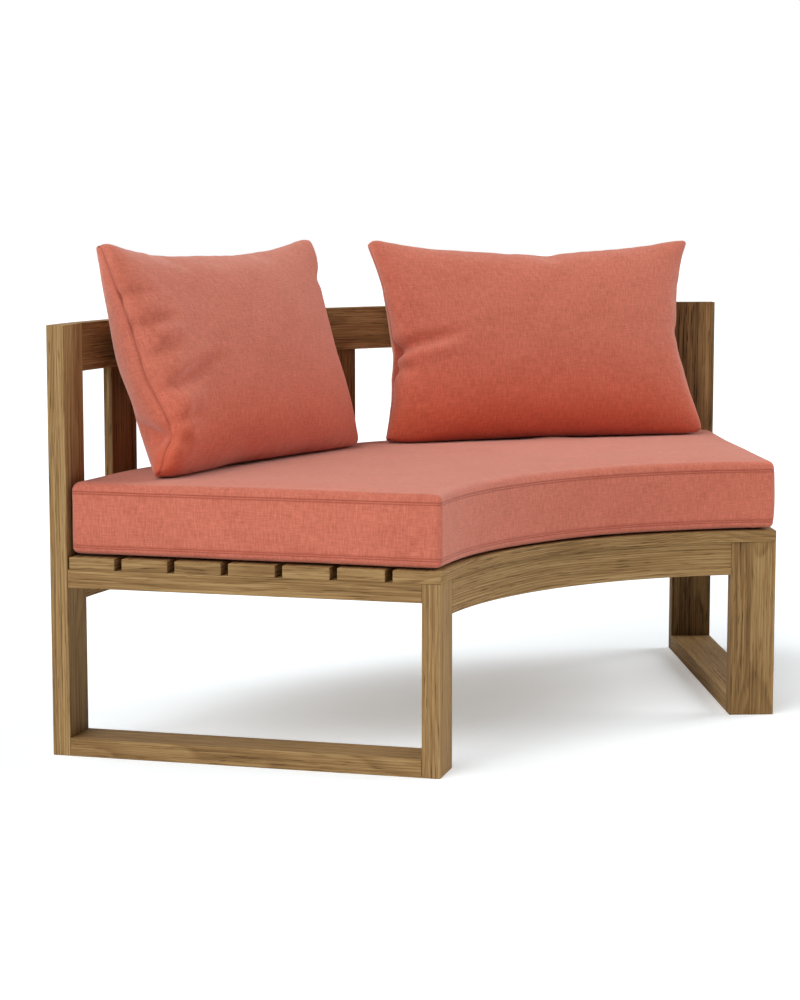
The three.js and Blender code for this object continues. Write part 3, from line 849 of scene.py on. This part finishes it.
def section_stops(half_span, power, cells, rim_rows):
    """Stops from -1 to 1 spaced evenly along a swollen section, with close rows at its seams.

    Returns them with their distances along the section, in metres from its middle.
    """
    fine = np.sin(np.linspace(-0.5, 0.5, 4001) * math.pi)
    rim = np.clip(1 - (1 - np.abs(fine)) * half_span / PILLOW_RIM, 0, 1)
    height = (PILLOW_THICKNESS / 2 - PILLOW_RIM) * np.sqrt(np.maximum(0.0, 1 - np.abs(fine) ** power))
    height += PILLOW_RIM * np.sqrt(1 - rim ** 2)
    run = np.concatenate([[0.0], np.cumsum(np.hypot(np.diff(fine * half_span), np.diff(height)))])
    stations = np.linspace(0, run[-1], cells + 1)
    stations = np.unique([*stations, *rim_rows, *(run[-1] - row for row in rim_rows)])
    stops = np.interp(stations, run, fine)
    stops[0], stops[-1] = -1.0, 1.0
    return stops, stations - run[-1] / 2


def pillow_surface(s, t, face, inset, pillow):
    """The pillow's own across, up and forward places at shares s and t of its half width and half height.

    Its corners are round, and its rim is a roll of cloth as thick as the seam allowances inside it. rim_share
    says how near the seam a point is, from 0 inside the roll to 1 on the seam.
    """
    half_width, half_height = PILLOW_WIDTH / 2 - inset, PILLOW_HEIGHT / 2 - inset
    roll = PILLOW_RIM - inset / 2
    near_side = np.maximum(0, 1 - (1 - np.abs(s)) * half_width / roll)
    near_top = np.maximum(0, 1 - (1 - np.abs(t)) * half_height / roll)
    rim_share = np.minimum(1, np.maximum(near_side, near_top))
    square = rim_share / np.maximum(np.hypot(near_side, near_top), 1e-9)
    x = half_width * np.abs(s) - roll * near_side * (1 - square)
    y = half_height * np.abs(t) - roll * near_top * (1 - square)
    draw_up = PILLOW_FOOT_DRAW_IN + (pillow["top_draw"] - PILLOW_FOOT_DRAW_IN) * (1 + t) / 2
    ear = np.abs(s * t) ** PILLOW_EAR_POWER * PILLOW_EAR
    x -= np.abs(s) * np.where(s < 0, *pillow["side_draws"]) * (1 - t ** 2) + ear
    y -= np.abs(t) * draw_up * (1 - s ** 2) + ear
    across = np.sqrt(np.maximum(0.0, 1 - np.abs(s) ** np.where(s < 0, *pillow["fullness"])))
    up = np.sqrt(np.maximum(0.0, 1 - np.abs(t + PILLOW_SAG * (1 - t ** 2)) ** PILLOW_FULLNESS_UP))
    thick = (PILLOW_THICKNESS / 2 - inset - roll) * across * up + roll * np.sqrt(1 - rim_share ** 2)
    points = np.stack([np.sign(s) * x, PILLOW_HEIGHT / 2 + np.sign(t) * y, face * thick], -1)
    outer = bell(1 - pillow["side"] * s, RIM_LEAN_REACH)
    points[..., 2] += pillow["rim_lean"] * outer * np.sqrt(np.maximum(0, 1 - t ** 2))
    points[..., 2] -= pillow["bow"] * (1 - s ** 6) * (1 - t ** 4)
    points[..., 0] += pillow["shift"]
    return points, rim_share


def pillow_sheets(cells, rim_rows, inset, pillow):
    """The front and back of a pillow, with each point's shares, face and nearness to the seam."""
    across, across_run = section_stops(PILLOW_WIDTH / 2, max(pillow["fullness"]), cells[0], rim_rows)
    up, up_run = section_stops(PILLOW_HEIGHT / 2, PILLOW_FULLNESS_UP, cells[1], rim_rows)
    s, t = np.meshgrid(across, up, indexing="ij")
    u, v = np.meshgrid(across_run, up_run, indexing="ij")
    sheets = []
    facts = []
    for face in (1, -1):
        points, rim_share = pillow_surface(s, t, face, inset, pillow)
        sheets.append((points, np.stack([u + face * 0.37, v], -1), face < 0))
        facts.append(np.stack([s, t, np.full_like(s, face), rim_share], -1).reshape(-1, 4))
    return sheets, np.concatenate(facts)


def pillow_axes(side):
    across = Vector((math.cos(PILLOW_TURN), -side * math.sin(PILLOW_TURN), 0))
    back = Vector((side * math.sin(PILLOW_TURN), math.cos(PILLOW_TURN), 0))
    up = back * math.sin(PILLOW_LEAN) + Vector((0, 0, math.cos(PILLOW_LEAN)))
    return np.array([across, up, across.cross(up)])


def settle(points, side, inset, face, rim):
    """Stands a pillow on the seat cushion, leaning on the back rail, pressed flat where it rests."""
    origin = np.array([side * PILLOW_MIDDLE_X, PILLOW_MIDDLE_Y, CUSHION_CREST + FIT_GAP - PILLOW_SETTLE])
    placed = points @ pillow_axes(side) + origin
    placed[:, 2] = soft_floor(placed[:, 2], SOLE_HEIGHT + inset, PILLOW_SOFTNESS)
    over_rail = np.maximum(0, placed[:, 2] - BENCH_HEIGHT - PILLOW_RAIL_ROLL)
    ahead = np.where(rim, 0.5, (face + 1) / 2)
    reach = RAIL_FRONT - PILLOW_RAIL_GAP - FIT_GAP - inset - ahead * PILLOW_LEAST_THICKNESS + over_rail
    radius = np.hypot(placed[:, 0], placed[:, 1])
    placed[:, :2] *= (-soft_floor(-radius, -reach, PILLOW_SOFTNESS) / radius)[:, None]
    placed[:, 1] += RING_Y
    return placed


# What makes each pillow itself. Places on it are shares of its half width and half height from its middle.
# side_draws: how far its left and right edges are drawn in, and top_draw its upper edge.
# rim_lean: how far its outer seam stands forward. bow: how far its middle is pushed back.
# fullness: of its section, left and right. pulls: a place, a reach, and a move across, up and forward.
# folds: the face (1 front, -1 back), start, end, width and depth.
PILLOWS = {
    "left": {
        "side": -1, "shift": 0.0, "side_draws": (0.023, 0.031), "top_draw": 0.0225, "rim_lean": 0.022,
        "bow": 0.009, "fullness": (3.9, 2.8),
        "pulls": (
            ((-1, 1), 0.05, (0.006, 0.010, 0.002)), ((-1, -1), 0.05, (0.010, 0.003, 0.004)),
            ((-1, -0.56), 0.06, (0.009, 0, 0.026)), ((-0.45, 1), 0.08, (0, -0.003, 0)),
            ((1, 1), 0.05, (0.004, 0.010, 0.003)), ((1, 0.72), 0.04, (0.008, 0, 0.003)),
            ((1, 0.36), 0.018, (-0.008, 0, -0.004)), ((1, -0.1), 0.05, (-0.002, 0, -0.002)),
        ),
        "folds": (
            (1, (-1.0, -0.66), (-0.84, -0.80), 0.010, 0.011),
            (1, (-0.98, -0.55), (-0.74, -0.51), 0.009, 0.013),
            (1, (-0.92, -0.41), (-0.74, -0.38), 0.013, -0.004),
            (1, (-0.97, 0.27), (-0.74, 0.32), 0.009, 0.014),
            (1, (-0.93, 0.16), (-0.78, 0.20), 0.012, -0.003),
            (1, (-0.86, -0.13), (-0.60, 0.0), 0.012, -0.003),
            (1, (-0.94, -0.27), (-0.42, -0.05), 0.011, 0.0165),
            (1, (0.97, 0.60), (0.84, 0.58), 0.012, 0.006),
            (-1, (-0.98, -0.62), (-0.80, -0.46), 0.015, 0.018),
            (-1, (-0.80, -0.2), (-0.70, -0.15), 0.04, 0.005),
            (1, (-0.98, 0.52), (-0.82, 0.56), 0.009, 0.009),
            (1, (-0.96, 0.02), (-0.78, 0.08), 0.010, 0.010),
        ),
    },
    "right": {
        "side": 1, "shift": 0.0055, "side_draws": (0.031, 0.039), "top_draw": 0.0285, "rim_lean": 0.0,
        "bow": 0.0, "fullness": (2.8, 2.8),
        "pulls": (
            ((-1, -0.12), 0.028, (0.004, 0, 0)), ((1, -0.13), 0.025, (-0.005, 0, 0)),
            ((0.06, 1), 0.035, (0, -0.002, 0)), ((1, 1), 0.04, (0.009, 0.006, 0)),
            ((-1, 1), 0.04, (-0.006, 0.006, 0)), ((-1, 0.7), 0.09, (0, 0, 0.009)),
            ((-1, -0.6), 0.06, (0.003, 0, 0)),
        ),
        "folds": (
            (1, (-1.0, -0.09), (-0.55, 0.01), 0.011, 0.020),
            (1, (-1.0, -0.26), (-0.86, -0.34), 0.013, 0.011),
            (1, (-0.93, -0.18), (-0.68, -0.13), 0.016, -0.005),
            (1, (1.0, 0.03), (0.86, 0.0), 0.014, 0.006), (1, (0.08, 1.0), (0.08, 0.80), 0.02, 0.004),
        ),
    },
}


def pull_outline(points, facts, pulls):
    """Moves a pillow's cloth at single places, as a corner or a short stitch in the seam does."""
    spots = facts[:, :2] * PILLOW_HALF
    for place, reach, move in pulls:
        away = np.linalg.norm(spots - place * PILLOW_HALF, axis=1)
        points += bell(away, reach)[:, None] * np.array(move)


def press_folds(facts, folds):
    """How deep each point is pressed by the folds in a pillow's cloth. A depth below zero is a ridge."""
    spots, face = facts[:, :2] * PILLOW_HALF, facts[:, 2]
    depth = np.zeros(len(facts))
    for on_face, start, end, width, drop in folds:
        start = start * PILLOW_HALF
        line = end * PILLOW_HALF - start
        share = np.clip((spots - start) @ line / (line @ line), 0, 1)
        away = np.linalg.norm(spots - start - share[:, None] * line, axis=1)
        fade = 1 - share ** 2 if drop > 0 else 1.0
        depth += drop * fade * bell(away, width) * (face * on_face > 0)
    return depth


def make_pillow(side_name):
    pillow = PILLOWS[side_name]
    side = pillow["side"]
    sheets, facts = pillow_sheets((92, 62), RIM_ROWS, 0, pillow)
    cover, first = sew(f"pillow_{side_name}_cover_sewn", sheets)
    facts = facts[first]
    s, t, face, rim_share = facts.T
    points = read_points(cover.data)
    form, _ = sew("pillow_form", pillow_sheets((84, 56), (), 0, pillow)[0])
    still = read_points(form.data)
    rough = still + 0.001 * read_normals(form.data) * noise_field(still, 0.05, 10 + side)[:, None]
    write_points(form.data, rough)
    moved = inflate(form, pressure=0.5, slack=0.012, cap=0.012)
    points = points + carry(points, still, moved, reach=0.012)
    bpy.data.objects.remove(form)
    write_points(cover.data, points)
    normals = read_normals(cover.data)
    to_seam = PILLOW_RIM * np.arccos(rim_share)
    lift = noise_field(points, 0.11, 20 + side) * 0.002 - press_folds(facts, pillow["folds"])
    edge = np.minimum((1 - np.abs(s)) * PILLOW_WIDTH / 2, (1 - np.abs(t)) * PILLOW_HEIGHT / 2)
    pucker = noise_field(points, (0.021, 0.021, 0.06), 30 + side) * 0.0014 * bell(edge, 0.02)
    groove = 0.0015 * bell(to_seam, 0.0013)
    points = points + normals * (lift + pucker - groove)[:, None]
    pull_outline(points, facts, pillow["pulls"])
    write_points(cover.data, settle(points, side, 0, face, rim_share > ON_SEAM))
    # Painted shade along the pillow's seam
    add_attribute(cover, "seam", 0.42 * bell(to_seam, 0.001))
    # Painted shade: the cloth darker and redder toward the pillow's foot
    add_attribute(cover, "foot", np.clip((0.05 - t) / 0.85, 0, 1) ** 1.5)
    subdivide(cover)
    cover.data.materials.append(cover_linen)
    finish_soft(cover, f"pillow_{side_name}", "cushion_fabric", 0.8, f"pillow_{side_name}_cover")

    pad_sheets, pad_facts = pillow_sheets((44, 30), (), PAD_INSET, pillow)
    pad, pad_first = sew(f"pillow_{side_name}_inner_pad", pad_sheets)
    pad_facts = pad_facts[pad_first]
    pressed = press_folds(pad_facts, pillow["folds"])
    pad_points = read_points(pad.data) - read_normals(pad.data) * pressed[:, None]
    pull_outline(pad_points, pad_facts, pillow["pulls"])
    write_points(pad.data, settle(pad_points, side, PAD_INSET, pad_facts[:, 2], pad_facts[:, 3] > ON_SEAM))
    pad.data.materials.append(foam)
    finish_soft(pad, f"pillow_{side_name}", "cushion_filling", 0.8, f"pillow_{side_name}_filling")
    return cover


# Zips and screws

def satin_steel(name):
    """Stainless steel of the screws: satin, with fine turning marks."""
    material, tree, shader = new_material(name)
    place = add_node(tree, "ShaderNodeTexCoord").outputs["Object"]
    marks = noise_at(tree, place, 2.0, scale=1400.0).outputs["Fac"]
    feed(shader, {
        "Base Color": srgb("#b9b8b3"), "Metallic": 1.0,
        "Roughness": map_range(tree, marks, To_Min=0.24, To_Max=0.46),
    })
    return material


def deselect(*groups):
    for elements in groups:
        elements.foreach_set("select", [False] * len(elements))


def facing(up, outward):
    """The turn that points a piece's Y up and its Z outward."""
    side = up.cross(outward).normalized()
    return Matrix((side, outward.normalized().cross(side), outward.normalized())).transposed().to_euler()


def nylon(name):
    """Dyed nylon of a coil zip: darker than the cloth, with a slight gloss."""
    material, tree, shader = new_material(name)
    place = add_node(tree, "ShaderNodeTexCoord").outputs["Object"]
    ribs = noise_at(tree, place, 2.0, scale=900.0).outputs["Fac"]
    feed(shader, {
        "Base Color": mix_colours(tree, ribs, srgb("#8a3d33"), srgb("#b0584a")),
        "Normal": bumps(tree, ribs, 0.3, 0.0002), "Roughness": 0.42,
    })
    return material


def bevelled_block(size, place, turn, width):
    """A small block with rounded edges."""
    bpy.ops.mesh.primitive_cube_add(size=1, location=place, rotation=turn)
    block = bpy.context.object
    block.scale = size
    bpy.ops.object.transform_apply()
    bevel = give(block.modifiers.new("rounded", "BEVEL"), width=width, segments=3)
    bpy.ops.object.modifier_apply(modifier=bevel.name)
    return block


def make_zip(node_name, body, cover, middle, up, outward, length):
    """A closed coil zip on a cover: its tape, its coil, and a slider with a pull at one end."""
    columns = 2 * round(length / (2 * ZIP_TOOTH_PITCH)) * 2
    bpy.ops.mesh.primitive_grid_add(x_subdivisions=columns, y_subdivisions=8, size=1)
    tape = bpy.context.object
    tape.name = f"{node_name}_coil"
    tape.scale = (length, ZIP_WIDTH, 1)
    bpy.ops.object.transform_apply(location=False, rotation=False, scale=True)
    tape.location = middle + outward * 0.03
    tape.rotation_euler = facing(up, outward)
    laid = give(tape.modifiers.new("laid_on_cover", "SHRINKWRAP"), target=cover, wrap_method="PROJECT",
                use_project_z=True, use_positive_direction=False, use_negative_direction=True, offset=0.0005)
    bpy.ops.object.modifier_apply(modifier=laid.name)
    for lift, every in ((0.0007, 1), (0.0005, 2)):
        for vertex in tape.data.vertices:
            column = round((vertex.co.x / length + 0.5) * columns)
            vertex.select = abs(vertex.co.y) < 0.0015 and column % every == 0
        deselect(tape.data.edges, tape.data.polygons)
        set_mode("EDIT")
        bpy.ops.mesh.select_mode(type="VERT")
        bpy.ops.transform.shrink_fatten(value=lift)
        set_mode("OBJECT")
    thick = give(tape.modifiers.new("thick", "SOLIDIFY"), thickness=0.001, offset=-1)
    bpy.ops.object.modifier_apply(modifier=thick.name)
    bpy.ops.object.transform_apply()

    slider_place = middle + up.cross(outward) * (length / 2 - SLIDER_FROM_END)
    end = min(tape.data.vertices, key=lambda vertex: (vertex.co - slider_place).length)
    end_place = end.co.copy()
    end_out = (outward + end.normal).normalized() if end.normal.dot(outward) > 0 else outward
    turn = facing(up, end_out)
    slider = bevelled_block(SLIDER_SIZE, end_place + end_out * 0.0012, turn, 0.0011)
    pull = bevelled_block(PULL_SIZE, end_place + end_out * 0.0034 - up * PULL_SIZE[1] / 2, turn, 0.0006)
    slider.select_set(True)
    pull.select_set(True)
    tape.select_set(True)
    bpy.context.view_layer.objects.active = tape
    bpy.ops.object.join()
    bpy.ops.object.shade_smooth_by_angle(angle=math.radians(50))
    tape.data.materials.append(zip_nylon)
    tape.select_set(False)
    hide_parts(node_name)
    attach(tape, body)


def fit_zips():
    """The zips at the back of the three covers."""
    seat_back = on_ring(CUSHION_BACK, 0, CUSHION_BOTTOM + CUSHION_HEIGHT / 2)
    make_zip("seat_cushion_zip", "seat_cushion", seat_cover, seat_back, Vector((0, 0, 1)), Vector((0, 1, 0)),
             2 * CUSHION_BACK * math.sin(HALF_SPAN / 2))
    for side_name, side in SIDES.items():
        _, up, forward = (Vector(axis) for axis in pillow_axes(side))
        foot = Vector((side * PILLOW_MIDDLE_X, RING_Y + PILLOW_MIDDLE_Y, CUSHION_CREST - PILLOW_SETTLE))
        middle = foot + up * PILLOW_ZIP_RISE - forward * PILLOW_THICKNESS / 2
        make_zip(f"pillow_{side_name}_zip", f"pillow_{side_name}", pillow_covers[side_name], middle, up,
                 -forward, 0.6 * PILLOW_WIDTH)


def pick_faces(mesh, wanted):
    """Selects the faces for which wanted is true, and nothing else."""
    deselect(mesh.vertices, mesh.edges)
    for face in mesh.polygons:
        face.select = wanted(face)


def extrude(rise):
    bpy.ops.mesh.extrude_region_move(TRANSFORM_OT_translate={"value": (0, 0, rise)})


def drive_screws():
    """The countersunk screws that hold the slats from below, with six-lobed recesses."""
    steel = satin_steel("stainless_steel_satin")
    low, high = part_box("slat_screw_left_1")
    shank_length = high.z - low.z - SCREW_HEAD_HEIGHT - SCREW_POINT_LENGTH
    bpy.ops.mesh.primitive_cylinder_add(vertices=24, radius=SCREW_SHANK_RADIUS, depth=shank_length,
                                        location=(0, 0, SCREW_HEAD_HEIGHT + shank_length / 2))
    pattern = bpy.context.object
    bpy.ops.object.transform_apply()
    mesh = pattern.data
    pick_faces(mesh, lambda face: face.normal.z > 0.9)
    set_mode("EDIT")
    bpy.ops.mesh.select_mode(type="FACE")
    extrude(SCREW_POINT_LENGTH)
    bpy.ops.transform.resize(value=(0.05, 0.05, 1))
    set_mode("OBJECT")
    pick_faces(mesh, lambda face: face.normal.z < -0.9)
    set_mode("EDIT")
    extrude(SCREW_HEAD_RIM - SCREW_HEAD_HEIGHT)
    bpy.ops.transform.resize(value=(2, 2, 1))
    extrude(-SCREW_HEAD_RIM)
    bpy.ops.mesh.inset(thickness=0.0018)
    set_mode("OBJECT")
    recess = [vertex for face in mesh.polygons if face.select for vertex in face.vertices]
    for index in recess:
        corner = mesh.vertices[index].co
        lobe = 0.82 + 0.18 * math.cos(6 * math.atan2(corner.y, corner.x))
        corner.x, corner.y = corner.x * lobe, corner.y * lobe
    set_mode("EDIT")
    extrude(SCREW_RECESS_DEPTH)
    bpy.ops.mesh.select_all(action="SELECT")
    bpy.ops.mesh.normals_make_consistent(inside=False)
    set_mode("OBJECT")
    bpy.ops.object.shade_smooth_by_angle(angle=math.radians(30))
    mesh.materials.append(steel)
    for line in ("left", "middle", "right"):
        for i in range(SLAT_COUNT):
            node_name = f"slat_screw_{line}_{i + 1}"
            low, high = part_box(node_name)
            screw = pattern.copy()
            screw.data = mesh.copy()
            screw.name = f"{node_name}_driven"
            scene.collection.objects.link(screw)
            screw.data.transform(Matrix.Translation(((low.x + high.x) / 2, (low.y + high.y) / 2, low.z)))
            screw.select_set(False)
            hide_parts(node_name)
            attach(screw, "bench_frame")
    bpy.data.objects.remove(pattern)


def calico(name):
    """Undyed polyester wadding in a plain inner cloth: off-white and matt."""
    material, tree, shader = new_material(name)
    cloth = add_node(tree, "ShaderNodeUVMap", uv_map="cloth").outputs[0]
    grain = noise_at(tree, reckon_vector(tree, "MULTIPLY", cloth, (500.0, 500.0, 1.0)), 2.0).outputs["Fac"]
    feed(shader, {
        "Base Color": mix_colours(tree, grain, srgb("#d8d2bf"), srgb("#f2eee0")), "Roughness": 0.95,
    })
    return material


make_camera()
make_floor()
make_lights()
finish_straight_boards()
bend_boards()
cover_linen = linen("acrylic_linen_weave_terracotta", "#dc816c", "#b4614c")
foam = calico("polyester_wadding_off_white")
zip_nylon = nylon("dyed_nylon_zip")
pillow_covers = {side_name: make_pillow(side_name) for side_name in SIDES}
pillow_points = np.concatenate([read_points(cover.data) for cover in pillow_covers.values()])
on_cushion = pillow_points[:, 2] < SOLE_HEIGHT + SOLE_DEPTH
seat_cover = make_seat_cushion(pillow_points[on_cushion])
fit_zips()
drive_screws()
